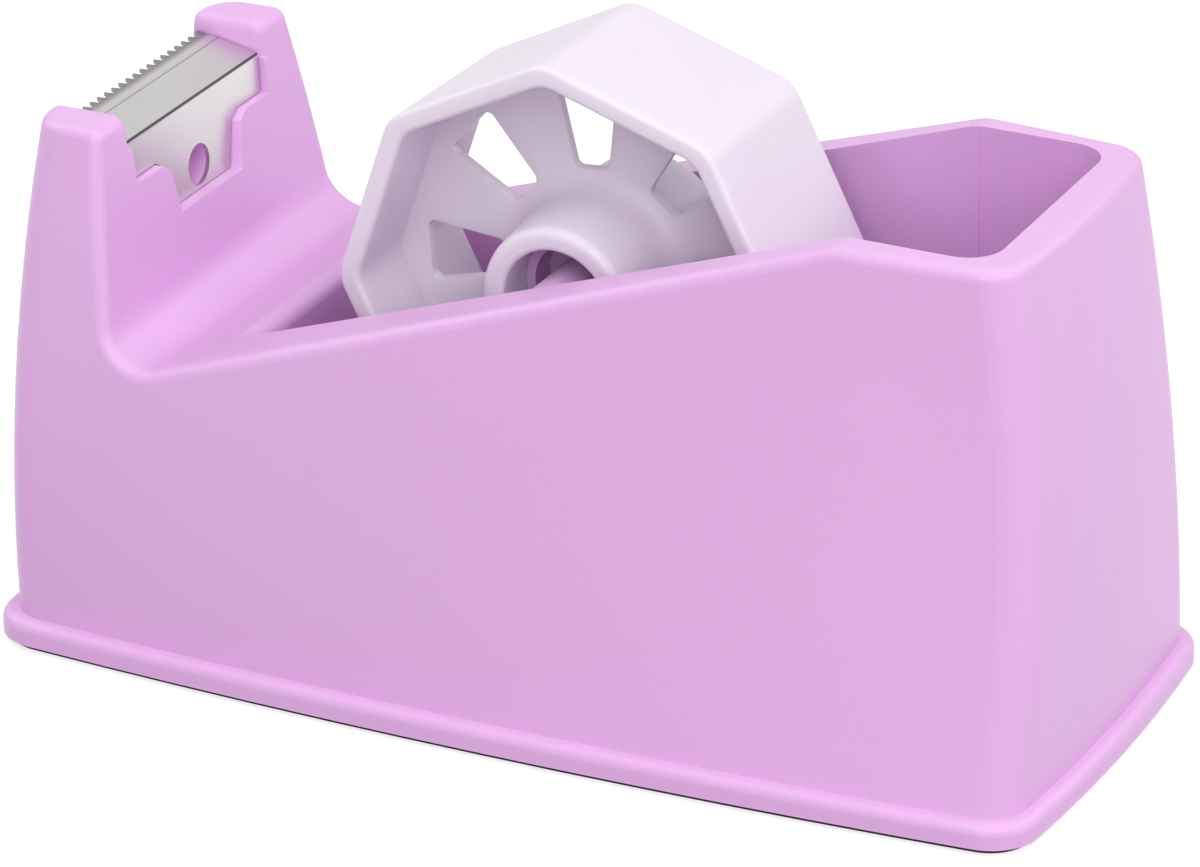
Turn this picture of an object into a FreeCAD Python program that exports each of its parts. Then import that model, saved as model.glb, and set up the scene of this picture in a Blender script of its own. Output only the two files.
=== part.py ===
import FreeCAD, Part

import math
import os

import Sketcher

# Desk tape dispenser with a pen bin. Frame: +Z up, -X is the blade end, +X the pen bin,
# origin on the resting surface under the middle of the base. Millimetres.

doc = FreeCAD.newDocument("tape_dispenser")
sheet = doc.addObject("Spreadsheet::Sheet", "Sizes")

VECTOR = FreeCAD.Vector


class Size:
    """A length with its value and the sheet formula that gives it."""

    def __init__(self, value, text):
        self.value = value
        self.text = text

    def join(self, other, sign, value):
        if not isinstance(other, Size):
            other = Size(other, repr(other))
        return Size(value(self.value, other.value), f"({self.text} {sign} {other.text})")

    def __add__(self, other):
        return self.join(other, "+", lambda a, b: a + b)

    def __sub__(self, other):
        return self.join(other, "-", lambda a, b: a - b)

    def __mul__(self, other):
        return self.join(other, "*", lambda a, b: a * b)

    def __truediv__(self, other):
        return self.join(other, "/", lambda a, b: a / b)

    def __neg__(self):
        return self * -1


def root(size):
    return Size(math.sqrt(size.value), f"sqrt{size.text}")


def cosine(size):
    return Size(math.cos(math.radians(size.value)), f"cos({size.text})")


def sine(size):
    return Size(math.sin(math.radians(size.value)), f"sin({size.text})")


ROWS = [
    # outer shape in plan: both sides are long arcs, the ends are shallow arcs
    ("base_length", 181.0),
    ("side_radius", 1177.0),
    ("flange_widest_x", -21.9),
    ("flange_half_width", 44.35),
    ("flange_front_bow", 1.8),
    ("flange_rear_bow", 2.0),
    ("flange_height", 4.0),
    ("flange_reach", 2.3),
    ("flange_corner", 8.4),
    ("flange_round", 1.8),
    # the walls are lofted through three sections; ends and sides stand back from the base
    ("middle_level", 60.0),
    ("upper_above_rim", 6.7),
    ("middle_widest_x", -49.4),
    ("foot_front_back", 2.9),
    ("middle_side_back", 7.35),
    ("middle_front_back", 3.1),
    ("middle_rear_back", 4.1),
    ("upper_widest_x", 4.1),
    ("upper_side_back", 14.0),
    ("upper_front_back", 6.3),
    ("upper_rear_back", 10.1),
    ("wall_front_bow", 1.6),
    ("wall_rear_bow", 1.8),
    ("upper_front_bow", 0.4),
    ("wall_corner", 6.4),
    # side profile
    ("rim_level", 90.3),
    ("horns_below_rim", 3.2),
    ("horn_back", 18.5),
    ("horn_round", 2.3),
    ("tower_foot_back", 23.6),
    ("tower_foot_level", 49.0),
    ("tower_foot_round", 6.5),
    ("bend_from_rear", 37.75),
    ("bend_round", 8.0),
    ("rim_round", 2.0),
    ("cut_margin", 10.0),
    # walls, floors and the partition between the well and the pen bin
    ("tub_top_side_wall", 6.15),
    ("tub_floor_side_wall", 16.15),
    ("tub_top_rear_wall", 5.2),
    ("tub_floor_rear_back", 11.9),
    ("tub_corner", 6.0),
    ("wall_bite", 1.5),
    ("floor_level", 16.0),
    ("floor_thickness", 2.5),
    ("well_front_back", 42.3),
    ("well_corner", 3.0),
    ("inner_rim_round", 2.6),
    ("bin_step", 1.2),
    ("partition_from_rear", 39.8),
    ("partition_thickness", 2.45),
    ("partition_top", 62.9),
    # hollow underside
    ("shell_wall", 3.3),
    ("hollow_corner", 4.0),
    ("hollow_front_back", 7.5),
    ("hollow_rear_back", 7.5),
    ("tower_hollow_length", 26.0),
    ("tower_hollow_side_back", 12.35),
    ("tower_hollow_top", 43.0),
    ("horn_hollow_length", 7.5),
    ("horn_hollow_side_back", 17.35),
    ("horn_hollow_below_top", 28.1),
    ("plate_thickness", 2.0),
    ("plate_ledge", 2.3),
    ("plate_gap", 0.2),
    ("boss_radius", 3.2),
    ("front_boss_back", 9.8),
    ("front_boss_side_back", 24.35),
    ("side_boss_x", -1.0),
    ("side_boss_side_back", 10.35),
    ("rear_boss_back", 16.5),
    ("rear_boss_side_back", 22.35),
    # screws that hold the cover
    ("screw_radius", 1.3),
    ("screw_length", 9.0),
    ("screw_head_radius", 2.6),
    ("screw_head_height", 1.3),
    ("screw_gap", 0.05),
    ("screw_hole_gap", 0.3),
    # pad and weight
    ("pad_thickness", 1.2),
    ("pad_inset", 1.5),
    ("weight_length", 100.0),
    ("weight_side_gap", 2.8),
    ("weight_height", 10.0),
    ("weight_middle_x", -2.0),
    ("weight_corner", 5.0),
    # cutter blade and the gap between the horns
    ("horn_width", 8.65),
    ("horn_edge_round", 1.8),
    ("blade_side_gap", 0.4),
    ("blade_steel", 0.6),
    ("blade_behind_horns", 0.35),
    ("blade_below_horns", 5.0),
    ("blade_reach", 11.1),
    ("blade_slope", 12.0),
    ("blade_gap", 0.1),
    ("toothed_reach", 3.9),
    ("toothed_slope", 8.5),
    ("front_cut_reach", 9.0),
    ("front_cut_depth", 6.0),
    ("front_cut_slope", 40.0),
    ("tooth_pitch", 2.27),
    ("tooth_depth", 2.0),
    ("tooth_tip", 0.15),
    ("tab_lean", 3.5),
    ("tab_arm_depth", 6.5),
    ("tab_arm_inner_y", 13.4),
    ("tab_stem_top_y", 11.2),
    ("tab_stem_top_depth", 7.9),
    ("tab_stem_foot_y", 9.7),
    ("tab_depth", 15.5),
    ("tab_seat_margin", 0.25),
    ("tab_hole_radius", 3.45),
    ("tab_hole_depth", 11.5),
    ("tab_pocket_depth", 4.0),
    # tape wheel
    ("axle_x", 0.8),
    ("axle_level", 66.85),
    ("wheel_turn", 4.49),
    ("wheel_width", 33.4),
    ("wheel_near_radius", 38.8),
    ("wheel_far_radius", 38.0),
    ("wheel_corner", 6.0),
    ("wheel_rim_wall", 3.3),
    ("wheel_inner_corner", 4.5),
    ("wheel_lip_round", 0.8),
    ("web_thickness", 1.8),
    ("web_offset", -1.0),
    ("hub_length", 36.5),
    ("hub_radius", 12.4),
    ("hub_foot_radius", 13.6),
    ("hub_round", 1.6),
    ("hub_foot_round", 4.0),
    ("hub_bore", 8.8),
    ("window_outer_radius", 29.8),
    ("window_outer_half", 5.2),
    ("window_inner_radius", 16.4),
    ("window_inner_half", 2.9),
    ("window_round", 1.2),
    # axle and its cradles
    ("axle_gap", 0.08),
    ("axle_core_length", 20.0),
    ("axle_core_wall", 1.52),
    ("axle_core_web", 9.0),
    ("journal_radius", 4.0),
    ("journal_gap", 0.15),
    ("journal_length", 49.4),
    ("journal_end_gap", 0.4),
    ("cradle_end_gap", 0.5),
    ("cradle_half_length", 9.0),
    ("cradle_below_rim", 3.3),
]

size = {}
for row, (name, value) in enumerate(ROWS, 1):
    sheet.set(f"A{row}", name)
    sheet.set(f"B{row}", str(value))
    sheet.setAlias(f"B{row}", name)
    size[name] = Size(value, f"Sizes.{name}")
doc.recompute()

ZERO = Size(0.0, "0")


def bind(thing, name, amount):
    """Give a property its value and tie it to the sheet."""
    thing.setExpression(name, amount.text)


def new_body(label):
    body = doc.addObject("PartDesign::Body", label)
    body.Label = label
    return body


def new_sketch(body, name, plane, offset=ZERO):
    """A sketch on one of the body's own origin planes, moved along the plane's normal."""
    sketch = body.newObject("Sketcher::SketchObject", name)
    planes = [f for f in body.Origin.OriginFeatures if f.Role == plane]
    sketch.AttachmentSupport = [(planes[0], "")]
    sketch.MapMode = "FlatFace"
    sketch.AttachmentOffset = FreeCAD.Placement(VECTOR(0, 0, offset.value), FreeCAD.Rotation())
    bind(sketch, "AttachmentOffset.Base.z", offset)
    return sketch


def lean_over(sketch, x):
    """Tilt a sketch on the YZ plane about the blade's bend, so that its foot leans back."""
    spin = FreeCAD.Rotation(VECTOR(-1, 0, 0), size["tab_lean"].value)
    sketch.AttachmentOffset = FreeCAD.Placement(VECTOR(0, blade_level.value, x.value), spin)
    bind(sketch, "AttachmentOffset.Base.y", blade_level)
    bind(sketch, "AttachmentOffset.Base.z", x)
    bind(sketch, "AttachmentOffset.Rotation.Angle", size["tab_lean"])


def place_point(sketch, geometry, point, x, y):
    """Hold one point of a sketch at a place given by two sizes."""
    for kind, amount in (("DistanceX", x), ("DistanceY", y)):
        limit = Sketcher.Constraint(kind, -1, 1, geometry, point, amount.value)
        index = sketch.addConstraint(limit)
        sketch.setExpression(f"Constraints[{index}]", amount.text)


def hold_radius(sketch, geometry, radius):
    index = sketch.addConstraint(Sketcher.Constraint("Radius", geometry, radius.value))
    sketch.setExpression(f"Constraints[{index}]", radius.text)


def draw_circle(sketch, x, y, radius):
    centre = VECTOR(x.value, y.value, 0)
    circle = Part.Circle(centre, VECTOR(0, 0, 1), radius.value)
    index = sketch.addGeometry(circle, False)
    place_point(sketch, index, 3, x, y)
    hold_radius(sketch, index, radius)


def draw_outline(sketch, corners, arcs=None):
    """A closed outline drawn anticlockwise.

    A corner is (x, y) or (x, y, radius); arcs gives the radius of an edge that bulges outward.
    """
    arcs = arcs or {}
    count = len(corners)
    points = [VECTOR(c[0].value, c[1].value, 0) for c in corners]
    starts = {}
    ends = {}
    for i, corner in enumerate(corners):
        if len(corner) < 3:
            starts[i] = ends[i] = points[i]
            continue
        before = (points[i] - points[i - 1]).normalize()
        after = (points[(i + 1) % count] - points[i]).normalize()
        turn = math.acos(max(-1.0, min(1.0, before.dot(after))))
        reach = corner[2].value * math.tan(turn / 2)
        ends[i] = points[i] - before * reach
        starts[i] = points[i] + after * reach
    edges = []
    for i in range(count):
        start = starts[i]
        end = ends[(i + 1) % count]
        if i in arcs:
            radius = arcs[i].value
            chord = end - start
            rise = math.sqrt(max(0.0, radius ** 2 - (chord.Length / 2) ** 2))
            side = VECTOR(-chord.y, chord.x, 0).normalize()
            centre = (start + end) / 2 + side * rise
            circle = Part.Circle(centre, VECTOR(0, 0, 1), radius)
            low = math.atan2(start.y - centre.y, start.x - centre.x)
            high = math.atan2(end.y - centre.y, end.x - centre.x)
            if high < low:
                high += 2 * math.pi
            edge = sketch.addGeometry(Part.ArcOfCircle(circle, low, high), False)
            hold_radius(sketch, edge, arcs[i])
        else:
            edge = sketch.addGeometry(Part.LineSegment(start, end), False)
        edges.append(edge)
    for i, corner in enumerate(corners):
        first = edges[i - 1]
        second = edges[i]
        if len(corner) < 3:
            sketch.addConstraint(Sketcher.Constraint("Coincident", first, 2, second, 1))
            place_point(sketch, second, 1, corner[0], corner[1])
            continue
        before = ends[i] - points[i - 1]
        after = points[(i + 1) % count] - starts[i]
        left = before.x * after.y - before.y * after.x > 0
        inward = VECTOR(-before.y, before.x, 0).normalize() * (1 if left else -1)
        radius = corner[2].value
        centre = ends[i] + inward * radius
        circle = Part.Circle(centre, VECTOR(0, 0, 1), radius)
        one = ends[i] if left else starts[i]
        two = starts[i] if left else ends[i]
        low = math.atan2(one.y - centre.y, one.x - centre.x)
        high = math.atan2(two.y - centre.y, two.x - centre.x)
        if high < low:
            high += 2 * math.pi
        arc = sketch.addGeometry(Part.ArcOfCircle(circle, low, high), False)
        sketch.addConstraint(Sketcher.Constraint("Tangent", first, 2, arc, 1 if left else 2))
        sketch.addConstraint(Sketcher.Constraint("Tangent", arc, 2 if left else 1, second, 1))
        hold_radius(sketch, arc, corner[2])
        vertex = sketch.addGeometry(Part.Point(points[i]), True)
        sketch.addConstraint(Sketcher.Constraint("PointOnObject", vertex, 1, first))
        sketch.addConstraint(Sketcher.Constraint("PointOnObject", vertex, 1, second))
        place_point(sketch, vertex, 1, corner[0], corner[1])


def extrude(body, kind, name, sketch, length, side="One side", backwards=False):
    """A pad or pocket of a sketch."""
    feature = body.newObject(f"PartDesign::{kind}", name)
    feature.Profile = sketch
    feature.Length = length.value
    bind(feature, "Length", length)
    feature.SideType = side
    feature.Reversed = backwards
    return feature


def loft(body, kind, name, sketches, ruled=False):
    feature = body.newObject(f"PartDesign::{kind}", name)
    feature.Profile = sketches[0]
    feature.Sections = sketches[1:]
    feature.Ruled = ruled
    return feature


def round_edges(body, name, radius, wanted, kind="Fillet"):
    """Fillet or chamfer the edges of the body's tip that the test accepts."""
    doc.recompute()
    tip = body.Tip
    names = []
    for number, edge in enumerate(tip.Shape.Edges, 1):
        if wanted(edge):
            names.append(f"Edge{number}")
    feature = body.newObject(f"PartDesign::{kind}", name)
    feature.Base = (tip, names)
    if kind == "Fillet":
        feature.Radius = radius.value
        bind(feature, "Radius", radius)
    else:
        feature.Size = radius.value
        bind(feature, "Size", radius)
    return feature


def box_of(edge):
    return edge.BoundBox


def plan_corners(front, rear, front_bow, rear_bow, widest, half, inset=ZERO):
    """Corners and arcs of a plan section whose sides are long arcs about (widest, half)."""
    side = size["side_radius"] - inset
    centre = size["side_radius"] - half
    front_x = front + front_bow
    rear_x = rear - rear_bow
    front_y = root(side * side - (front_x - widest) * (front_x - widest)) - centre
    rear_y = root(side * side - (rear_x - widest) * (rear_x - widest)) - centre
    corners = [(front_x, -front_y), (rear_x, -rear_y), (rear_x, rear_y), (front_x, front_y)]
    arcs = {0: side, 2: side}
    if rear_bow is not ZERO:
        arcs[1] = (rear_y * rear_y + rear_bow * rear_bow) / (rear_bow * 2)
    if front_bow is not ZERO:
        arcs[3] = (front_y * front_y + front_bow * front_bow) / (front_bow * 2)
    return corners, arcs


half_length = size["base_length"] / 2
half_width = size["flange_half_width"]
underside = size["pad_thickness"]
flange_top = underside + size["flange_height"]
lower_half = half_width - size["flange_reach"]
upper_level = size["rim_level"] + size["upper_above_rim"]
upper_half = half_width - size["upper_side_back"]


def from_front(name):
    """A place so far behind the front end of the base."""
    return size[name] - half_length


def from_rear(name):
    """A place so far ahead of the rear end of the base."""
    return half_length - size[name]


# The three levels of the walls: height, front end, rear end, front bow, widest place, half width.
LEVELS = [
    (
        flange_top,
        from_front("foot_front_back"),
        from_rear("flange_reach"),
        size["wall_front_bow"],
        size["flange_widest_x"],
        lower_half,
    ),
    (
        size["middle_level"],
        from_front("middle_front_back"),
        from_rear("middle_rear_back"),
        size["wall_front_bow"],
        size["middle_widest_x"],
        half_width - size["middle_side_back"],
    ),
    (
        upper_level,
        from_front("upper_front_back"),
        from_rear("upper_rear_back"),
        size["upper_front_bow"],
        size["upper_widest_x"],
        upper_half,
    ),
]

# ---------------------------------------------------------------- body shell
shell = new_body("body_shell")

# base flange, a low foot that stands out all round
flange_sketch = new_sketch(shell, "flange_outline", "XY_Plane", underside)
corners, arcs = plan_corners(
    -half_length,
    half_length,
    size["flange_front_bow"],
    size["flange_rear_bow"],
    size["flange_widest_x"],
    size["flange_half_width"],
)
draw_outline(flange_sketch, corners, arcs)
extrude(shell, "Pad", "flange", flange_sketch, size["flange_height"])
round_edges(
    shell,
    "flange_corners",
    size["flange_corner"],
    lambda e: box_of(e).ZLength > size["flange_height"].value * 0.9,
)

# walls
wall_sketches = []
for number, (level, front, rear, front_bow, widest, half) in enumerate(LEVELS, 1):
    sketch = new_sketch(shell, f"wall_section_{number}", "XY_Plane", level)
    corners, arcs = plan_corners(front, rear, front_bow, size["wall_rear_bow"], widest, half)
    draw_outline(sketch, corners, arcs)
    wall_sketches.append(sketch)
loft(shell, "AdditiveLoft", "walls", wall_sketches)
round_edges(
    shell,
    "wall_corners",
    size["wall_corner"],
    lambda e: box_of(e).ZLength > size["flange_height"].value * 3,
)
round_edges(
    shell,
    "flange_edge",
    size["flange_round"],
    lambda e: abs(box_of(e).ZMin - flange_top.value) < 0.01
    and box_of(e).ZLength < 0.01
    and max(box_of(e).YMax, -box_of(e).YMin) > (lower_half + size["flange_reach"] / 2).value,
)

# side profile: horns, tower back, valley, sloping rim and level rim, cut straight across
beyond = half_length + size["cut_margin"]
above = upper_level + size["cut_margin"]
across = half_width * 2 + size["cut_margin"]
horn_top = size["rim_level"] - size["horns_below_rim"]
horn_back_x = from_front("horn_back")
tower_foot_x = from_front("tower_foot_back")
bend_x = from_rear("bend_from_rear")
profile_sketch = new_sketch(shell, "side_profile", "XZ_Plane")
draw_outline(
    profile_sketch,
    [
        (-beyond, horn_top),
        (horn_back_x, horn_top, size["horn_round"]),
        (tower_foot_x, size["tower_foot_level"], size["tower_foot_round"]),
        (bend_x, size["rim_level"], size["bend_round"]),
        (beyond, size["rim_level"]),
        (beyond, above),
        (-beyond, above),
    ],
)
extrude(shell, "Pocket", "profile_cut", profile_sketch, across, "Symmetric")
round_edges(
    shell,
    "outer_rim",
    size["rim_round"],
    lambda e: abs(box_of(e).ZMin - size["rim_level"].value) < 0.01
    and box_of(e).ZLength < 0.01
    and box_of(e).YLength > upper_half.value,
)

# gap between the horns, with the sloping seat under the blade; in front the wall between the
# horns is cut back so that the teeth overhang it
blade_bend_x = horn_back_x - size["blade_behind_horns"]
blade_level = horn_top - size["blade_below_horns"]
horn_gap = (upper_half - size["horn_width"]) * 2
slope = sine(size["blade_slope"]) / cosine(size["blade_slope"])
seat_drop = (size["blade_steel"] + size["blade_gap"]) / cosine(size["blade_slope"])


def seat_level(x):
    return blade_level + (blade_bend_x - x) * slope - seat_drop


cut_x = blade_bend_x - size["front_cut_reach"]
cut_level = seat_level(cut_x) - size["front_cut_depth"]
cut_lean = sine(size["front_cut_slope"]) / cosine(size["front_cut_slope"])
horn_sketch = new_sketch(shell, "horn_gap_profile", "XZ_Plane")
draw_outline(
    horn_sketch,
    [
        (-beyond, cut_level - (beyond + cut_x) * cut_lean),
        (cut_x - size["blade_steel"], cut_level),
        (cut_x, seat_level(cut_x)),
        (tower_foot_x, seat_level(tower_foot_x)),
        (tower_foot_x, above),
        (-beyond, above),
    ],
)
extrude(shell, "Pocket", "horn_gap", horn_sketch, horn_gap, "Symmetric")
round_edges(
    shell,
    "horn_edges",
    size["horn_edge_round"],
    lambda e: abs(abs(box_of(e).YMin) - horn_gap.value / 2) < 0.01
    and box_of(e).YLength < 0.01
    and (
        abs(box_of(e).ZMin - horn_top.value) < 0.01
        or box_of(e).XMax < cut_x.value
        and box_of(e).ZLength > size["front_cut_depth"].value
    ),
)

# shallow seat for the blade's tab in the tower back, leaning with the tab, and the round
# pocket behind its hole; depths are measured down the seat from the bend
seat_x = blade_bend_x - size["blade_steel"] - size["blade_gap"]
seat_depth = tower_foot_x - seat_x
margin = size["tab_seat_margin"]
arm_y = horn_gap / 2
arm_depth = size["tab_arm_depth"] + margin
arm_inner_y = size["tab_arm_inner_y"] + margin
stem_top_depth = size["tab_stem_top_depth"] + margin
stem_top_y = size["tab_stem_top_y"] + margin
stem_foot_depth = size["tab_depth"] + margin
stem_foot_y = size["tab_stem_foot_y"] + margin
seat_sketch = new_sketch(shell, "tab_seat_outline", "YZ_Plane")
lean_over(seat_sketch, seat_x)
draw_outline(
    seat_sketch,
    [
        (-stem_foot_y, -stem_foot_depth, size["tab_seat_margin"]),
        (stem_foot_y, -stem_foot_depth, size["tab_seat_margin"]),
        (stem_top_y, -stem_top_depth),
        (arm_inner_y, -arm_depth),
        (arm_y, -arm_depth),
        (arm_y, size["blade_below_horns"]),
        (-arm_y, size["blade_below_horns"]),
        (-arm_y, -arm_depth),
        (-arm_inner_y, -arm_depth),
        (-stem_top_y, -stem_top_depth),
    ],
)
extrude(shell, "Pocket", "tab_seat", seat_sketch, seat_depth, backwards=True)
pocket_sketch = new_sketch(shell, "tab_pocket_outline", "YZ_Plane")
lean_over(pocket_sketch, seat_x)
draw_circle(pocket_sketch, ZERO, -size["tab_hole_depth"], size["tab_hole_radius"])
extrude(shell, "Pocket", "tab_pocket", pocket_sketch, size["tab_pocket_depth"])


def cavity_sections(name, front, rear, step):
    """Two sections of the tub: straight walls that lean out a little toward the floor.

    Without a rear place the section runs to the rear wall; the step widens the lower one.
    """
    sections = []
    floor_half = half_width - size["tub_floor_side_wall"] + step
    top_half = upper_half - size["tub_top_side_wall"]
    floor_rear = rear or from_rear("tub_floor_rear_back")
    top_rear = rear or from_rear("upper_rear_back") - size["tub_top_rear_wall"]
    for number, (level, half, end) in enumerate(
        ((size["floor_level"], floor_half, floor_rear), (upper_level, top_half, top_rear)), 1
    ):
        sketch = new_sketch(shell, f"{name}_{number}", "XY_Plane", level)
        draw_outline(sketch, [(front, -half), (end, -half), (end, half), (front, half)])
        sections.append(sketch)
    return sections


# the tape well and the pen bin behind it; the bin's side walls drop a little steeper
partition_x = from_rear("partition_from_rear")
partition_rear_x = partition_x + size["partition_thickness"]
well_front_x = from_front("well_front_back")
tub_floor_half = half_width - size["tub_floor_side_wall"]
well_sections = cavity_sections("well_section", well_front_x, partition_rear_x, ZERO)
loft(shell, "SubtractiveLoft", "well", well_sections, True)
bin_sections = cavity_sections("bin_section", partition_rear_x, None, size["bin_step"])
loft(shell, "SubtractiveLoft", "bin", bin_sections, True)
round_edges(
    shell,
    "bin_corners",
    size["tub_corner"],
    lambda e: abs(box_of(e).ZMin - size["floor_level"].value) < 0.01
    and box_of(e).ZLength > size["tub_corner"].value * 3
    and box_of(e).XMax > from_rear("tub_floor_rear_back").value - 0.1,
)
round_edges(
    shell,
    "inner_rim",
    size["inner_rim_round"],
    lambda e: abs(box_of(e).XMin - well_front_x.value) < 0.01
    and box_of(e).XLength < 0.01
    and box_of(e).YLength > upper_half.value
    and box_of(e).ZMin > size["floor_level"].value + 1.0,
)

# low partition between the well and the bin, let into both side walls
partition_y = tub_floor_half + size["wall_bite"]
partition_sketch = new_sketch(shell, "partition_outline", "XY_Plane", size["floor_level"])
draw_outline(
    partition_sketch,
    [
        (partition_x, -partition_y),
        (partition_rear_x, -partition_y),
        (partition_rear_x, partition_y),
        (partition_x, partition_y),
    ],
)
extrude(
    shell,
    "Pad",
    "partition",
    partition_sketch,
    size["partition_top"] - size["floor_level"],
)

# hollow underside: a shallow hollow under the floor and a deep one inside the tower
ceiling = size["floor_level"] - size["floor_thickness"]
hollow_front = from_front("hollow_front_back")
hollow_rear = from_rear("hollow_rear_back")
hollow_sketch = new_sketch(shell, "hollow_outline", "XY_Plane", underside)
corners, arcs = plan_corners(
    hollow_front,
    hollow_rear,
    ZERO,
    ZERO,
    size["flange_widest_x"],
    lower_half,
    size["shell_wall"],
)
draw_outline(hollow_sketch, corners, arcs)
extrude(shell, "Pocket", "hollow", hollow_sketch, ceiling - underside, backwards=True)
round_edges(
    shell,
    "hollow_corners",
    size["hollow_corner"],
    lambda e: box_of(e).ZLength > (ceiling - underside).value - 0.01
    and box_of(e).ZMax < ceiling.value + 0.01
    and box_of(e).XLength < 0.01,
)
for name, length, half, top in (
    (
        "tower_hollow",
        size["tower_hollow_length"],
        half_width - size["tower_hollow_side_back"],
        size["tower_hollow_top"],
    ),
    (
        "horn_hollow",
        size["horn_hollow_length"],
        half_width - size["horn_hollow_side_back"],
        horn_top - size["horn_hollow_below_top"],
    ),
):
    sketch = new_sketch(shell, f"{name}_outline", "XY_Plane", ceiling)
    draw_outline(
        sketch,
        [
            (hollow_front, -half, size["well_corner"]),
            (hollow_front + length, -half, size["well_corner"]),
            (hollow_front + length, half, size["well_corner"]),
            (hollow_front, half, size["well_corner"]),
        ],
    )
    extrude(shell, "Pocket", name, sketch, top - ceiling, backwards=True)

# rebate for the cover
ledge = size["plate_ledge"]
rebate_front = hollow_front - ledge
rebate_rear = hollow_rear + ledge
rebate_inset = size["shell_wall"] - ledge
rebate_sketch = new_sketch(shell, "rebate_outline", "XY_Plane", underside)
corners, arcs = plan_corners(
    rebate_front,
    rebate_rear,
    ZERO,
    ZERO,
    size["flange_widest_x"],
    lower_half,
    rebate_inset,
)
draw_outline(rebate_sketch, corners, arcs)
extrude(shell, "Pocket", "rebate", rebate_sketch, size["plate_thickness"], backwards=True)
plate_top = underside + size["plate_thickness"]
round_edges(
    shell,
    "rebate_corners",
    size["hollow_corner"] + ledge,
    lambda e: abs(box_of(e).ZMax - plate_top.value) < 0.01
    and abs(box_of(e).ZMin - underside.value) < 0.01
    and box_of(e).XLength < 0.01,
)

# six screw bosses with pilot holes
SCREW_PLACES = []
side_boss_y = half_width - size["side_boss_side_back"]
for x, y in (
    (from_front("front_boss_back"), half_width - size["front_boss_side_back"]),
    (size["side_boss_x"], side_boss_y),
    (from_rear("rear_boss_back"), half_width - size["rear_boss_side_back"]),
):
    SCREW_PLACES.append((x, -y))
    SCREW_PLACES.append((x, y))
boss_sketch = new_sketch(shell, "boss_outlines", "XY_Plane", plate_top)
for x, y in SCREW_PLACES:
    draw_circle(boss_sketch, x, y, size["boss_radius"])
extrude(shell, "Pad", "bosses", boss_sketch, ceiling - plate_top)
pilot_sketch = new_sketch(shell, "pilot_outlines", "XY_Plane", plate_top)
for x, y in SCREW_PLACES:
    draw_circle(pilot_sketch, x, y, size["screw_radius"] + size["screw_gap"])
pilot_depth = size["screw_length"] - size["plate_thickness"] + size["screw_radius"]
extrude(shell, "Pocket", "pilot_holes", pilot_sketch, pilot_depth, backwards=True)

# axle cradles on both well walls, their tops parallel to the sloping rim
rim_slope = (size["rim_level"] - size["tower_foot_level"]) / (bend_x - tower_foot_x)
cradle_y = size["hub_length"] / 2 + size["cradle_end_gap"]
cradle_outer_y = tub_floor_half + size["wall_bite"]


def cradle_level(x):
    rise = (x - tower_foot_x) * rim_slope
    return size["tower_foot_level"] + rise - size["cradle_below_rim"]


cradle_front = size["axle_x"] - size["cradle_half_length"]
cradle_rear = size["axle_x"] + size["cradle_half_length"]
for name, offset, backwards in (
    ("near_cradle", cradle_y, False),
    ("far_cradle", -cradle_y, True),
):
    sketch = new_sketch(shell, f"{name}_outline", "XZ_Plane", offset)
    draw_outline(
        sketch,
        [
            (cradle_front, size["floor_level"]),
            (cradle_rear, size["floor_level"]),
            (cradle_rear, cradle_level(cradle_rear)),
            (cradle_front, cradle_level(cradle_front)),
        ],
    )
    extrude(shell, "Pad", name, sketch, cradle_outer_y - cradle_y, backwards=backwards)
journal_seat = size["journal_radius"] + size["journal_gap"]
slot_length = size["journal_length"] + size["journal_end_gap"] * 2
bearing_sketch = new_sketch(shell, "bearing_outline", "XZ_Plane")
draw_circle(bearing_sketch, size["axle_x"], size["axle_level"], journal_seat)
extrude(shell, "Pocket", "bearings", bearing_sketch, slot_length, "Symmetric")
slot_sketch = new_sketch(shell, "slot_outline", "XZ_Plane")
draw_outline(
    slot_sketch,
    [
        (size["axle_x"] - journal_seat, size["axle_level"]),
        (size["axle_x"] + journal_seat, size["axle_level"]),
        (size["axle_x"] + journal_seat, above),
        (size["axle_x"] - journal_seat, above),
    ],
)
extrude(shell, "Pocket", "axle_slots", slot_sketch, slot_length, "Symmetric")

# ---------------------------------------------------------------- base plate
# flat cover that closes the underside, flush with the bottom of the flange
plate = new_body("base_plate")
gap = size["plate_gap"]
plate_sketch = new_sketch(plate, "plate_outline", "XY_Plane", underside)
corners, arcs = plan_corners(
    rebate_front + gap,
    rebate_rear - gap,
    ZERO,
    ZERO,
    size["flange_widest_x"],
    lower_half,
    rebate_inset + gap,
)
draw_outline(plate_sketch, corners, arcs)
extrude(plate, "Pad", "plate", plate_sketch, size["plate_thickness"])
round_edges(
    plate,
    "plate_corners",
    size["hollow_corner"] + ledge - gap,
    lambda e: box_of(e).ZLength > size["plate_thickness"].value - 0.01,
)
screw_hole = size["screw_radius"] + size["screw_hole_gap"]
holes_sketch = new_sketch(plate, "screw_holes_outline", "XY_Plane", underside)
for x, y in SCREW_PLACES:
    draw_circle(holes_sketch, x, y, screw_hole)
extrude(plate, "Pocket", "screw_holes", holes_sketch, size["plate_thickness"], backwards=True)
sink = size["screw_head_radius"] - size["screw_radius"]
hole_edge = 2 * math.pi * screw_hole.value
round_edges(
    plate,
    "countersinks",
    sink,
    lambda e: abs(e.Length - hole_edge) < 0.01 and abs(box_of(e).ZMin - underside.value) < 0.01,
    "Chamfer",
)

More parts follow.
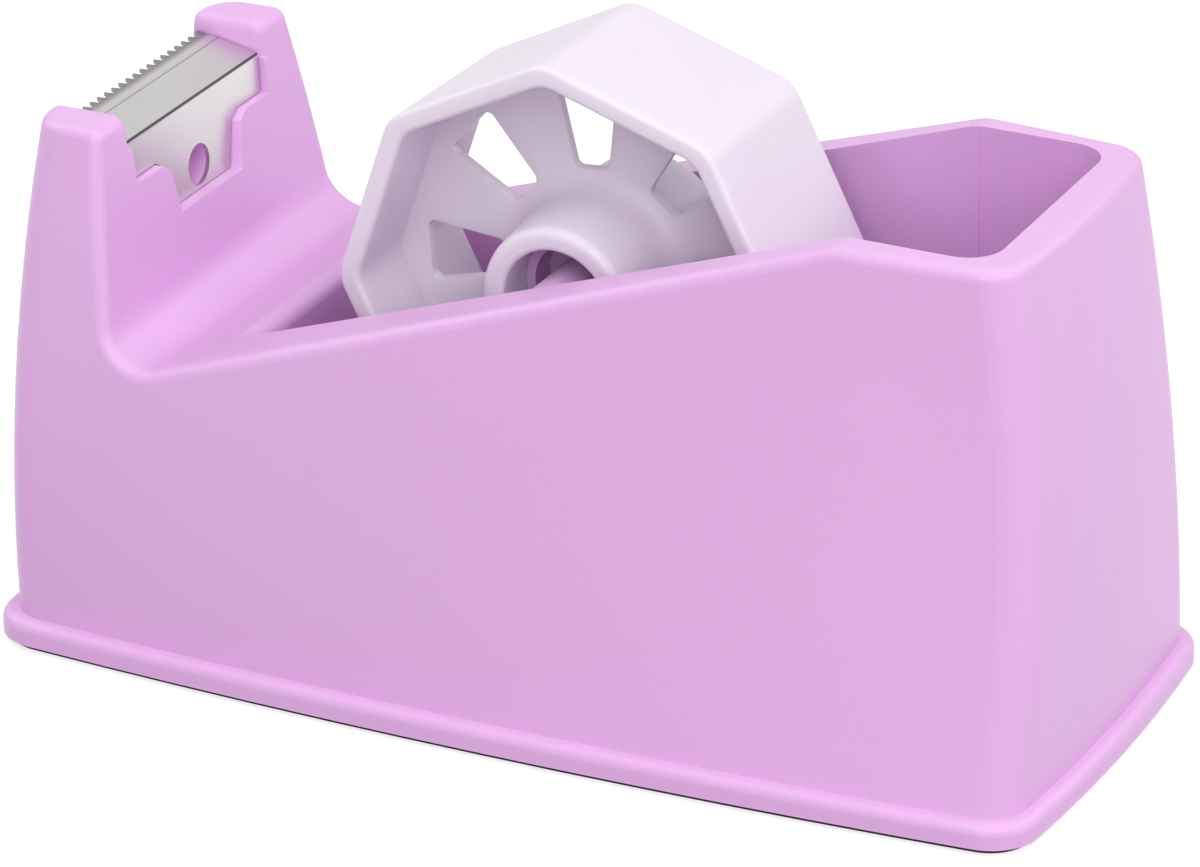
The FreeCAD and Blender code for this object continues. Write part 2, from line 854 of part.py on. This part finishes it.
# ---------------------------------------------------------------- foam pad
# thin non-slip pad stuck under the flange
pad = new_body("foam_pad")
inset = size["pad_inset"]
pad_sketch = new_sketch(pad, "pad_outline", "XY_Plane")
corners, arcs = plan_corners(
    inset - half_length,
    half_length - inset,
    size["flange_front_bow"],
    size["flange_rear_bow"],
    size["flange_widest_x"],
    size["flange_half_width"],
    inset,
)
draw_outline(pad_sketch, corners, arcs)
extrude(pad, "Pad", "pad_sheet", pad_sketch, size["pad_thickness"])
round_edges(
    pad,
    "pad_corners",
    size["flange_corner"] - inset,
    lambda e: box_of(e).ZLength > size["pad_thickness"].value - 0.01,
)

# ---------------------------------------------------------------- weight
# cast-iron plate that lies on the cover under the well floor
weight = new_body("ballast_plate")
weight_sketch = new_sketch(weight, "weight_outline", "XY_Plane", plate_top)
weight_x = size["weight_length"] / 2
weight_y = side_boss_y - size["boss_radius"] - size["weight_side_gap"]
draw_outline(
    weight_sketch,
    [
        (size["weight_middle_x"] - weight_x, -weight_y, size["weight_corner"]),
        (size["weight_middle_x"] + weight_x, -weight_y, size["weight_corner"]),
        (size["weight_middle_x"] + weight_x, weight_y, size["weight_corner"]),
        (size["weight_middle_x"] - weight_x, weight_y, size["weight_corner"]),
    ],
)
extrude(weight, "Pad", "weight_slab", weight_sketch, size["weight_height"])

# ---------------------------------------------------------------- cover screws
# six countersunk screws, heads flush with the underside of the cover
screws = []
for number, (x, y) in enumerate(SCREW_PLACES, 1):
    head = doc.addObject("Part::Cone", f"screw_head_{number}")
    shank = doc.addObject("Part::Cylinder", f"screw_shank_{number}")
    for piece in (head, shank):
        bind(piece, "Placement.Base.x", x)
        bind(piece, "Placement.Base.y", y)
        bind(piece, "Placement.Base.z", underside)
    bind(head, "Radius1", size["screw_head_radius"])
    bind(head, "Radius2", size["screw_radius"])
    bind(head, "Height", size["screw_head_height"])
    bind(shank, "Radius", size["screw_radius"])
    bind(shank, "Height", size["screw_length"])
    screw = doc.addObject("Part::Fuse", f"screw_{number}")
    screw.Base = head
    screw.Tool = shank
    screws.append(screw)
screw_group = doc.addObject("Part::Compound", "cover_screws")
screw_group.Label = "cover_screws"
screw_group.Links = screws

# ---------------------------------------------------------------- cutter blade
# one bent strip of steel: the toothed lip rises forward, the T-shaped tab hangs down
blade = new_body("cutter_blade")
steel = size["blade_steel"]
blade_width = horn_gap - size["blade_side_gap"] * 2
tab_lean = sine(size["tab_lean"]) / cosine(size["tab_lean"])
toothed_lean = sine(size["toothed_slope"]) / cosine(size["toothed_slope"])
crease_x = blade_bend_x - size["blade_reach"] + size["toothed_reach"]
crease_level = blade_level + (blade_bend_x - crease_x) * slope
lip_x = blade_bend_x - size["blade_reach"]
lip_level = crease_level + size["toothed_reach"] * toothed_lean
lip_drop = steel / cosine(size["blade_slope"])
under_level = blade_level + steel * slope - lip_drop
tab_foot_x = blade_bend_x + size["tab_depth"] * tab_lean
tab_foot_level = blade_level - size["tab_depth"]
bend_sketch = new_sketch(blade, "blade_profile", "XZ_Plane")
draw_outline(
    bend_sketch,
    [
        (lip_x, lip_level - lip_drop),
        (crease_x, crease_level - lip_drop),
        (blade_bend_x - steel, under_level),
        (tab_foot_x - steel, tab_foot_level),
        (tab_foot_x, tab_foot_level),
        (blade_bend_x, blade_level),
        (crease_x, crease_level),
        (lip_x, lip_level),
    ],
)
extrude(blade, "Pad", "blade_strip", bend_sketch, blade_width, "Symmetric")
blade_y = blade_width / 2
arm_foot = blade_level - size["tab_arm_depth"]
stem_top = blade_level - size["tab_stem_top_depth"]
below = tab_foot_level - size["cut_margin"]
for name, way in (("left_notch", -1), ("right_notch", 1)):
    sketch = new_sketch(blade, f"{name}_outline", "YZ_Plane", blade_bend_x)
    points = [
        (size["tab_stem_foot_y"] * way, below),
        ((blade_y + size["cut_margin"]) * way, below),
        ((blade_y + size["cut_margin"]) * way, arm_foot),
        (size["tab_arm_inner_y"] * way, arm_foot),
        (size["tab_stem_top_y"] * way, stem_top),
        (size["tab_stem_foot_y"] * way, tab_foot_level),
    ]
    if way < 0:
        points.reverse()
    draw_outline(sketch, points)
    extrude(blade, "Pocket", name, sketch, size["tab_depth"], "Symmetric")
hole_sketch = new_sketch(blade, "tab_hole_outline", "YZ_Plane", blade_bend_x)
draw_circle(hole_sketch, ZERO, blade_level - size["tab_hole_depth"], size["tab_hole_radius"])
extrude(blade, "Pocket", "tab_hole", hole_sketch, size["tab_depth"], "Symmetric")

# V-shaped notches along the front edge, one drawn and the rest repeated
tooth_count = int(blade_width.value / size["tooth_pitch"].value)
span = size["tooth_pitch"] * (tooth_count - 1)
first_y = -span / 2
notch_half = (size["tooth_pitch"] - size["tooth_tip"]) / 2
tooth_lean = notch_half / size["tooth_depth"]
overshoot = size["tooth_tip"]
tooth_sketch = new_sketch(blade, "tooth_notch_outline", "XY_Plane", lip_level)
wide = notch_half + overshoot * tooth_lean
draw_outline(
    tooth_sketch,
    [
        (lip_x + size["tooth_depth"], first_y),
        (lip_x - overshoot, first_y + wide),
        (lip_x - overshoot, first_y - wide),
    ],
)
notch = extrude(blade, "Pocket", "tooth_notch", tooth_sketch, size["cut_margin"], "Symmetric")
doc.recompute()
teeth = blade.newObject("PartDesign::LinearPattern", "tooth_row")
teeth.Originals = [notch]
teeth.Direction = (tooth_sketch, ["V_Axis"])
teeth.Length = span.value
bind(teeth, "Length", span)
teeth.Occurrences = tooth_count
blade.Tip = teeth

# ---------------------------------------------------------------- tape wheel
# octagonal core holder; its own axis is Y and one corner points up before it is turned
wheel = new_body("tape_wheel")


def octagon(radius, corner):
    """Eight rounded corners at a distance from the middle, the first one towards +X."""
    diagonal = radius / root(Size(2.0, "(2)"))
    return [
        (radius, ZERO, corner),
        (diagonal, diagonal, corner),
        (ZERO, radius, corner),
        (-diagonal, diagonal, corner),
        (-radius, ZERO, corner),
        (-diagonal, -diagonal, corner),
        (ZERO, -radius, corner),
        (diagonal, -diagonal, corner),
    ]


rim_sections = []
for name, offset, radius in (
    ("near_octagon", size["wheel_width"] / 2, size["wheel_near_radius"]),
    ("far_octagon", -size["wheel_width"] / 2, size["wheel_far_radius"]),
):
    sketch = new_sketch(wheel, name, "XZ_Plane", offset)
    draw_outline(sketch, octagon(radius, size["wheel_corner"]))
    rim_sections.append(sketch)
loft(wheel, "AdditiveLoft", "octagon_block", rim_sections, ruled=True)

# both sides are hollowed to the web
inner_radius = size["wheel_near_radius"] - size["wheel_rim_wall"] / cosine(Size(22.5, "22.5"))
web_near = size["web_thickness"] / 2 - size["web_offset"]
web_far = size["web_offset"] + size["web_thickness"] / 2
for name, offset, backwards in (
    ("near_hollow", web_near, True),
    ("far_hollow", -web_far, False),
):
    sketch = new_sketch(wheel, f"{name}_outline", "XZ_Plane", offset)
    draw_outline(sketch, octagon(inner_radius, size["wheel_inner_corner"]))
    extrude(wheel, "Pocket", name, sketch, size["wheel_width"], backwards=backwards)

# hub turned about the axis, flaring into the web
hub_end = size["hub_length"] / 2
hub_sketch = new_sketch(wheel, "hub_profile", "XY_Plane")
hub_foot = size["hub_foot_radius"]
draw_outline(
    hub_sketch,
    [
        (size["hub_bore"], -hub_end, size["hub_round"] / 2),
        (size["hub_radius"], -hub_end, size["hub_round"]),
        (hub_foot, -web_near, size["hub_foot_round"]),
        (hub_foot + size["hub_foot_round"], -web_near),
        (hub_foot + size["hub_foot_round"], web_far),
        (hub_foot, web_far, size["hub_foot_round"]),
        (size["hub_radius"], hub_end, size["hub_round"]),
        (size["hub_bore"], hub_end, size["hub_round"] / 2),
    ],
)
hub = wheel.newObject("PartDesign::Revolution", "hub")
hub.Profile = hub_sketch
hub.ReferenceAxis = (hub_sketch, ["V_Axis"])
hub.Angle = 360.0
bore_sketch = new_sketch(wheel, "bore_outline", "XZ_Plane")
draw_circle(bore_sketch, ZERO, ZERO, size["hub_bore"])
extrude(wheel, "Pocket", "bore", bore_sketch, size["web_thickness"] * 4, "Symmetric")

# eight rounded windows in the web, each on a corner of the octagon
window_sketch = new_sketch(wheel, "window_outline", "XZ_Plane")
window_round = size["window_round"]
draw_outline(
    window_sketch,
    [
        (size["window_inner_half"], size["window_inner_radius"], window_round),
        (size["window_outer_half"], size["window_outer_radius"], window_round),
        (-size["window_outer_half"], size["window_outer_radius"], window_round),
        (-size["window_inner_half"], size["window_inner_radius"], window_round),
    ],
)
window = extrude(
    wheel, "Pocket", "window", window_sketch, size["web_thickness"] * 4, "Symmetric"
)
doc.recompute()
windows = wheel.newObject("PartDesign::PolarPattern", "windows")
windows.Originals = [window]
windows.Axis = (window_sketch, ["N_Axis"])
windows.Angle = 360.0
windows.Occurrences = 8
wheel.Tip = windows
rim_end = size["wheel_width"].value / 2
round_edges(
    wheel,
    "rim_edges",
    size["wheel_lip_round"],
    lambda e: abs(abs(box_of(e).YMin) - rim_end) < 0.01
    and box_of(e).YLength < 0.01
    and box_of(e).Center.Length > size["window_outer_radius"].value,
)
wheel.Placement = FreeCAD.Placement(
    VECTOR(size["axle_x"].value, 0, size["axle_level"].value),
    FreeCAD.Rotation(VECTOR(0, -1, 0), size["wheel_turn"].value),
)
bind(wheel, "Placement.Base.x", size["axle_x"])
bind(wheel, "Placement.Base.z", size["axle_level"])
bind(wheel, "Placement.Rotation.Angle", size["wheel_turn"])

# ---------------------------------------------------------------- wheel axle
# turned spindle: a cored barrel inside the hub and a journal at each end
axle = new_body("wheel_axle")
axle_sketch = new_sketch(axle, "axle_profile", "XY_Plane")
barrel = size["hub_bore"] - size["axle_gap"]
cored = barrel - size["axle_core_wall"]
journal = size["journal_radius"]
journal_end = size["journal_length"] / 2
barrel_end = size["axle_core_length"] / 2
web_end = size["axle_core_web"] / 2
draw_outline(
    axle_sketch,
    [
        (ZERO, -journal_end),
        (journal, -journal_end),
        (journal, -web_end),
        (cored, -web_end),
        (cored, -barrel_end),
        (barrel, -barrel_end),
        (barrel, barrel_end),
        (cored, barrel_end),
        (cored, web_end),
        (journal, web_end),
        (journal, journal_end),
        (ZERO, journal_end),
    ],
)
spindle = axle.newObject("PartDesign::Revolution", "spindle")
spindle.Profile = axle_sketch
spindle.ReferenceAxis = (axle_sketch, ["V_Axis"])
spindle.Angle = 360.0
axle.Placement.Base = VECTOR(size["axle_x"].value, 0, size["axle_level"].value)
bind(axle, "Placement.Base.x", size["axle_x"])
bind(axle, "Placement.Base.z", size["axle_level"])

# ---------------------------------------------------------------- checks and output
doc.recompute()
NODES = [shell, plate, pad, weight, screw_group, blade, wheel, axle]
for thing in doc.Objects:
    if "Invalid" in thing.State or "Error" in thing.State:
        raise RuntimeError(f"{thing.Name} failed: {thing.getStatusString()}")
for node in NODES:
    if node.Shape.isNull() or not node.Shape.isValid():
        raise RuntimeError(f"{node.Label} has no valid shape")
os.makedirs("parts", exist_ok=True)
for node in NODES:
    node.Shape.exportStep(f"parts/{node.Label}.step")
    print(node.Label, len(node.Shape.Solids), round(node.Shape.Volume, 1))
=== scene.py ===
import bpy
from mathutils import Matrix, Vector

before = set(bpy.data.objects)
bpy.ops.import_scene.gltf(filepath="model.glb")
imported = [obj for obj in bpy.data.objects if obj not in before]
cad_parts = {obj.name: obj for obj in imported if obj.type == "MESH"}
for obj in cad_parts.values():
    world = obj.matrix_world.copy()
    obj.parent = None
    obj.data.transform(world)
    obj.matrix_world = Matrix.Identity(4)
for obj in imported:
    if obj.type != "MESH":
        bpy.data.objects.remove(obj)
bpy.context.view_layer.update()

# ------------------------------------------------------------------ camera
# A long lens on a stand, to the right of the dispenser's long side and about 0.46 m above
# the table. It looks down at 25 degrees, with the blade on the left and the pen bin on
# the right.
eye = Vector((0.40643, -0.83693, 0.46480))
right = Vector((0.89953, 0.43685, 0.0))
look = Vector((-0.39703, 0.81738, -0.41745))
up = right.cross(look)
lens = bpy.data.cameras.new("long_lens")
lens.sensor_fit = "HORIZONTAL"
lens.sensor_width = 36.0
lens.lens = 193.965
lens.clip_start = 0.01
lens.clip_end = 20.0
camera = bpy.data.objects.new("stand_camera", lens)
turn = Matrix((right, up, -look)).transposed().to_4x4()
camera.matrix_world = Matrix.Translation(eye) @ turn
bpy.context.scene.collection.objects.link(camera)
bpy.context.scene.camera = camera

# ------------------------------------------------------------------ table top and light
# A sheet of white board far larger than the dispenser, in a white room. Five large soft
# lamps, one above and four around, give most of the light, and the white room and the
# board fill the rest.


class Link:
    """One output of a node, written into shader sums with ordinary operators."""

    def __init__(self, shading, socket):
        self.shading = shading
        self.socket = socket

    def sum_with(self, operation, *values):
        return self.shading.node("Math", *values, settings={"operation": operation})

    def __add__(self, other):
        return self.sum_with("ADD", self, other)

    def __radd__(self, other):
        return self.sum_with("ADD", other, self)

    def __sub__(self, other):
        return self.sum_with("SUBTRACT", self, other)

    def __rsub__(self, other):
        return self.sum_with("SUBTRACT", other, self)

    def __mul__(self, other):
        return self.sum_with("MULTIPLY", self, other)

    def __rmul__(self, other):
        return self.sum_with("MULTIPLY", other, self)

    def __abs__(self):
        return self.sum_with("ABSOLUTE", self)

    def limited(self, gain):
        """The value times a gain, kept between 0 and 1."""
        settings = {"operation": "MULTIPLY", "use_clamp": True}
        return self.shading.node("Math", self, gain, settings=settings)


class Shading:
    """A tree of shader nodes, with one method that adds any node."""

    def __init__(self, tree):
        self.tree = tree

    def node(self, kind, *values, settings=None, output=0, **named):
        """Adds a node, sets it up, and joins its sockets to values or links."""
        made = self.tree.nodes.new("ShaderNode" + kind)
        for key, value in (settings or {}).items():
            setattr(made, key, value)
        for index, value in enumerate(values):
            self.join(made.inputs[index], value)
        for key, value in named.items():
            self.join(made.inputs[key], value)
        return Link(self, made.outputs[output])

    def join(self, socket, value):
        """Links or sets one socket, and leaves it alone where there is no value."""
        if isinstance(value, Link):
            self.tree.links.new(value.socket, socket)
        elif value is not None:
            socket.default_value = value

    def in_view(self):
        """1 for rays that see it straight, in a mirror or through glass, and else 0."""
        camera_ray, glossy_ray, clear_ray = (
            self.node("LightPath", output=f"Is {kind} Ray")
            for kind in ("Camera", "Glossy", "Transmission")
        )
        return (camera_ray + glossy_ray + clear_ray).limited(1.0)


class Finish(Shading):
    """A material, with the patterns and mixtures that the finishes share."""

    def __init__(self, name):
        self.material = bpy.data.materials.new(name)
        self.material.use_nodes = True
        super().__init__(self.material.node_tree)
        self.shader = self.tree.nodes["Principled BSDF"]
        self.place = self.node("TexCoord", output="Object")

    def set(self, **named):
        """Joins sockets of the main shader."""
        for key, value in named.items():
            self.join(self.shader.inputs[key.replace("_", " ")], value)

    def grain(self, scale, detail=2.0, stretch=(1, 1, 1)):
        """Soft noise with so many ripples a metre, from 0 to 1."""
        at = self.node("Mapping", self.place, Scale=stretch)
        return self.node("TexNoise", at, Scale=scale, Detail=detail)

    def tint(self, amount, low, high):
        """A colour between two, by an amount from 0 to 1."""
        ramp = self.node("ValToRGB", amount)
        for stop, colour in zip(ramp.socket.node.color_ramp.elements, (low, high)):
            stop.color = (*colour, 1.0)
        return ramp

    def blend(self, amount, under, over):
        """Lays one colour over another by an amount from 0 to 1."""
        # passes over the sockets for a vector factor and for pairs of numbers and vectors
        skipped = [None] * 5
        colours = (under, (*over, 1.0))
        settings = {"data_type": "RGBA"}
        return self.node("Mix", amount, *skipped, *colours, settings=settings, output=2)

    def edges(self, reach, gain):
        """How much a point lies on an edge, from 0 to 1, within so many metres."""
        rounded = self.node("Bevel", reach, settings={"samples": 4})
        flat = self.node("NewGeometry", output="Normal")
        settings = {"operation": "DOT_PRODUCT"}
        same = self.node("VectorMath", rounded, flat, settings=settings, output="Value")
        return (1.0 - same).limited(gain)

    def axis(self, letter, vector=None):
        """One coordinate of a vector, or else of the point on the piece, in metres."""
        return self.node("SeparateXYZ", vector or self.place, output=letter)

    def upward(self):
        """How much the surface faces up, from 0 to 1."""
        return self.axis("Z", self.node("NewGeometry", output="Normal")).limited(1.0)

    def bump(self, height, strength, depth, under=None):
        """Relief by a height from 0 to 1, so many metres deep, on top of another."""
        return self.node(
            "Bump", Strength=strength, Distance=depth, Height=height, Normal=under
        )


bpy.context.scene.view_settings.view_transform = "Standard"

half = 3.0
corners = [(-half, -half, 0), (half, -half, 0), (half, half, 0), (-half, half, 0)]
table = bpy.data.meshes.new("table_top")
table.from_pydata(corners, [], [(0, 1, 2, 3)])
table_top = bpy.data.objects.new("table_top", table)
bpy.context.scene.collection.objects.link(table_top)

# the board and the room look whiter than they shine on the dispenser
board = Finish("white_board")
paper = board.grain(900.0)
in_view = board.in_view()
board.set(
    Base_Color=board.tint(paper, low=(0.46, 0.46, 0.46), high=(0.50, 0.50, 0.50)),
    Roughness=0.9,
    Specular_IOR_Level=0.2,
    Emission_Color=board.tint(in_view, low=(0.0, 0.0, 0.0), high=(1.0, 1.0, 1.0)),
    Emission_Strength=0.70,
)
table.materials.append(board.material)

world = bpy.data.worlds.new("white_room")
world.use_nodes = True
bpy.context.scene.world = world
room = Shading(world.node_tree)
filling = room.tree.nodes["Background"]
filling.inputs["Color"].default_value = (1.0, 1.0, 1.0, 1.0)
filling.inputs["Strength"].default_value = 0.28
backdrop = room.node("Background", Color=(0.8, 0.8, 0.8, 1.0), Strength=1.0)
walls = room.node("MixShader", room.in_view(), Link(room, filling.outputs[0]), backdrop)
room.join(room.tree.nodes["World Output"].inputs["Surface"], walls)

aim = Vector((0.0, 0.0, 0.05))
for name, place, side, watts in (
    ("lamp_above", (0.15, -0.15, 1.4), 1.8, 7.4),
    ("lamp_front", (0.45, -1.0, 0.85), 1.1, 9.6),
    ("lamp_right", (1.3, -0.25, 0.8), 0.9, 4.4),
    ("lamp_left", (-1.3, 0.0, 0.9), 1.1, 7.0),
    ("lamp_back", (1.0, 1.0, 1.0), 1.1, 6.0),
):
    light = bpy.data.lights.new(name, "AREA")
    light.size = side
    light.energy = watts
    lamp = bpy.data.objects.new(name, light)
    turn = (aim - Vector(place)).to_track_quat("-Z", "Y").to_matrix().to_4x4()
    lamp.matrix_world = Matrix.Translation(place) @ turn
    bpy.context.scene.collection.objects.link(lamp)

# ------------------------------------------------------------------ housing
# One moulding of lilac ABS: the flanged foot, the blade tower, the tape well and the pen
# bin. The skin shows a faint orange peel. Edges such as the rims and horns carry a
# painted pale highlight, and what faces up carries a painted pale sheen and is dulled by
# fine dust.


def dress(node, finish):
    """Puts a finish on a node that keeps its own shape."""
    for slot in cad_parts[node].material_slots:
        slot.material = finish.material


lilac = Finish("lilac_abs")
clouds = lilac.grain(14.0, detail=3.0)
peel = lilac.grain(420.0)
skin = lilac.grain(2200.0)
# painted highlight: every edge is made paler, and a little rougher
edge_highlight = lilac.edges(0.0012, gain=2.2) * (0.35 + 0.65 * lilac.grain(160.0, detail=4.0))
# painted sheen: what faces up is made paler and whiter; its extra roughness stands for
# fine dust
dust_and_sheen = lilac.upward() * (0.25 + 0.35 * lilac.grain(75.0, detail=5.0))
plain = lilac.tint(clouds, low=(0.75, 0.415, 0.775), high=(0.79, 0.445, 0.81))
highlighted = lilac.blend(edge_highlight * 0.5, plain, over=(0.86, 0.60, 0.88))
relief = lilac.bump(peel, strength=0.05, depth=0.0004)
lilac.set(
    Base_Color=lilac.blend(dust_and_sheen * 0.22, highlighted, over=(0.88, 0.78, 0.88)),
    Roughness=0.285 + 0.06 * clouds + 0.10 * edge_highlight + 0.16 * dust_and_sheen,
    Specular_IOR_Level=0.42,
    IOR=1.5,
    Normal=lilac.bump(skin, strength=0.03, depth=0.0001, under=relief),
)
dress("body_shell", lilac)

# ------------------------------------------------------------------ cover
# A flat moulded lid in dark plastic, with the fine spark-eroded texture that most
# undersides have. It closes the hollow base and holds the weight in.
spark = Finish("grey_abs")
pits = spark.grain(2600.0, detail=3.0)
scuffs = spark.grain(90.0, detail=6.0, stretch=(1.0, 0.2, 1.0))
plain = spark.tint(pits, low=(0.075, 0.07, 0.085), high=(0.10, 0.092, 0.115))
spark.set(
    Base_Color=spark.blend(scuffs * 0.25, plain, over=(0.22, 0.21, 0.23)),
    Roughness=0.50 + 0.2 * pits + 0.1 * scuffs,
    Normal=spark.bump(pits, strength=0.35, depth=0.0004),
)
dress("base_plate", spark)

# ------------------------------------------------------------------ weight
# A cast-iron plate, left as it came out of the sand and dipped against rust. Its edges
# are bare where the plates knocked together in the crate.
iron = Finish("sand_cast_iron")
sand = iron.grain(700.0, detail=5.0)
rust = iron.grain(60.0, detail=4.0)
knocked = iron.edges(0.0015, gain=3.0) * iron.grain(240.0, detail=4.0)
dipped = iron.tint(rust, low=(0.055, 0.052, 0.050), high=(0.10, 0.085, 0.075))
iron.set(
    Base_Color=iron.blend(knocked, dipped, over=(0.36, 0.35, 0.34)),
    Metallic=0.8,
    Roughness=0.55 + 0.25 * sand,
    Normal=iron.bump(sand, strength=0.8, depth=0.001),
)
dress("ballast_plate", iron)

# ------------------------------------------------------------------ cover screws
# Six small countersunk screws of zinc-plated steel, with a thread for plastic. They are
# driven up through the cover, and the driver has brightened the edges of their heads.
zinc = Finish("zinc_plate")
plating = zinc.grain(900.0, detail=3.0)
driven = zinc.edges(0.0004, gain=2.5)
bright = zinc.tint(plating, low=(0.56, 0.57, 0.60), high=(0.66, 0.66, 0.66))
zinc.set(
    Base_Color=zinc.blend(driven * 0.6, bright, over=(0.80, 0.79, 0.77)),
    Metallic=1.0,
    Roughness=0.285 + 0.2 * plating,
    Normal=zinc.bump(plating, strength=0.2, depth=0.0001),
)
dress("cover_screws", zinc)

# ------------------------------------------------------------------ foot pad
# A sheet of black cellular rubber, cut to the outline and glued under the flange so that
# the dispenser stays put when tape is torn off. Lint greys its cut edge.
foam = Finish("black_foam")
cells = foam.node("TexVoronoi", foam.place, Scale=1600.0, output="Distance")
lint = foam.grain(300.0, detail=5.0)
plain = foam.tint(cells, low=(0.012, 0.012, 0.013), high=(0.03, 0.03, 0.032))
foam.set(
    Base_Color=foam.blend(lint.limited(0.12), plain, over=(0.35, 0.33, 0.35)),
    Roughness=0.82 + 0.15 * lint,
    Specular_IOR_Level=0.25,
    Normal=foam.bump(cells, strength=0.7, depth=0.0006),
)
dress("foam_pad", foam)

# ------------------------------------------------------------------ cutter
# Rolled stainless strip, pierced, with punched teeth, and bent over the top of the tower.
# Its punched edges are bright. A dark line on the bend and a fainter one on the crease
# behind the teeth are painted reflections, and the teeth are painted darker as shade and
# are rougher.
strip = Finish("rolled_strip")
rolling = strip.grain(1500.0, stretch=(1.0, 0.03, 1.0))
smudges = strip.grain(55.0, detail=3.0)
cut = strip.edges(0.0003, gain=2.5)
along, level = strip.axis("X"), strip.axis("Z")


def line_across(x, z, half_width):
    """A line across the strip at one place along it and one height."""
    return (1.0 - (abs(along - x) + abs(level - z)) * (1.0 / half_width)).limited(2.0)


# painted reflections: a dark line on the bend and a fainter one on the crease
bend_reflection = line_across(-0.07235, 0.0821, half_width=0.00045)
crease_x = -0.07955
crease_reflection = line_across(crease_x, 0.08363, half_width=0.0003)
# painted shade sets in this far in front of the crease, and is full after as much again
shade_fade = 0.0012
teeth_shade = (crease_x - shade_fade - along).limited(1.0 / shade_fade)
steel = strip.tint(smudges, low=(0.66, 0.635, 0.64), high=(0.71, 0.685, 0.69))
steel = strip.blend(cut * 0.5, steel, over=(0.86, 0.85, 0.85))
# painted shade: the teeth are darkened, and made rougher
steel = strip.blend(teeth_shade * 0.8, steel, over=(0.20, 0.18, 0.20))
steel = strip.blend(crease_reflection * 0.55, steel, over=(0.30, 0.26, 0.26))
# the dark line on the bend is a painted reflection
strip.set(
    Base_Color=strip.blend(bend_reflection * 0.95, steel, over=(0.06, 0.05, 0.06)),
    Metallic=1.0,
    Roughness=0.285 + 0.10 * rolling + 0.06 * smudges + 0.15 * teeth_shade,
    Normal=strip.bump(rolling, strength=0.10, depth=0.0002),
)
dress("cutter_blade", strip)

# ------------------------------------------------------------------ tape wheel
# Eight-sided carrier for tape on a large core, moulded in natural white plastic with a
# web of eight windows and a long hub. Cores sliding on and off have dulled its corners.
milk = Finish("milk_white_plastic")
clouds = milk.grain(30.0, detail=3.0)
peel = milk.grain(500.0)
skin = milk.grain(2200.0)
dulled = milk.edges(0.0010, gain=2.0) * (0.3 + 0.7 * milk.grain(220.0, detail=4.0))
plain = milk.tint(clouds, low=(0.80, 0.715, 0.83), high=(0.835, 0.755, 0.86))
relief = milk.bump(peel, strength=0.10, depth=0.0004)
milk.set(
    Base_Color=milk.blend(dulled * 0.5, plain, over=(0.90, 0.87, 0.91)),
    Roughness=0.32 + 0.08 * clouds + 0.12 * dulled,
    Specular_IOR_Level=0.42,
    IOR=1.49,
    Subsurface_Weight=0.5,
    Subsurface_Radius=(1.0, 0.85, 1.0),
    Subsurface_Scale=0.005,
    Normal=milk.bump(skin, strength=0.03, depth=0.0001, under=relief),
)
dress("tape_wheel", milk)

# ------------------------------------------------------------------ axle
# A moulding in a greyer lilac, with a cored barrel in the middle of the hub and a journal
# at each end that drops into the cradles. Turning in the hub has drawn fine rings on it.
spindle = Finish("axle_abs")
rings = spindle.grain(1200.0, stretch=(0.05, 1.0, 0.05))
handled = spindle.grain(80.0, detail=4.0)
chafed = spindle.edges(0.0006, gain=2.0)
satin = spindle.tint(handled, low=(0.68, 0.44, 0.71), high=(0.74, 0.49, 0.77))
spindle.set(
    Base_Color=spindle.blend(chafed * 0.5, satin, over=(0.74, 0.58, 0.78)),
    Roughness=0.34 + 0.10 * rings,
    Specular_IOR_Level=0.42,
    Normal=spindle.bump(rings, strength=0.10, depth=0.0003),
)
dress("wheel_axle", spindle)
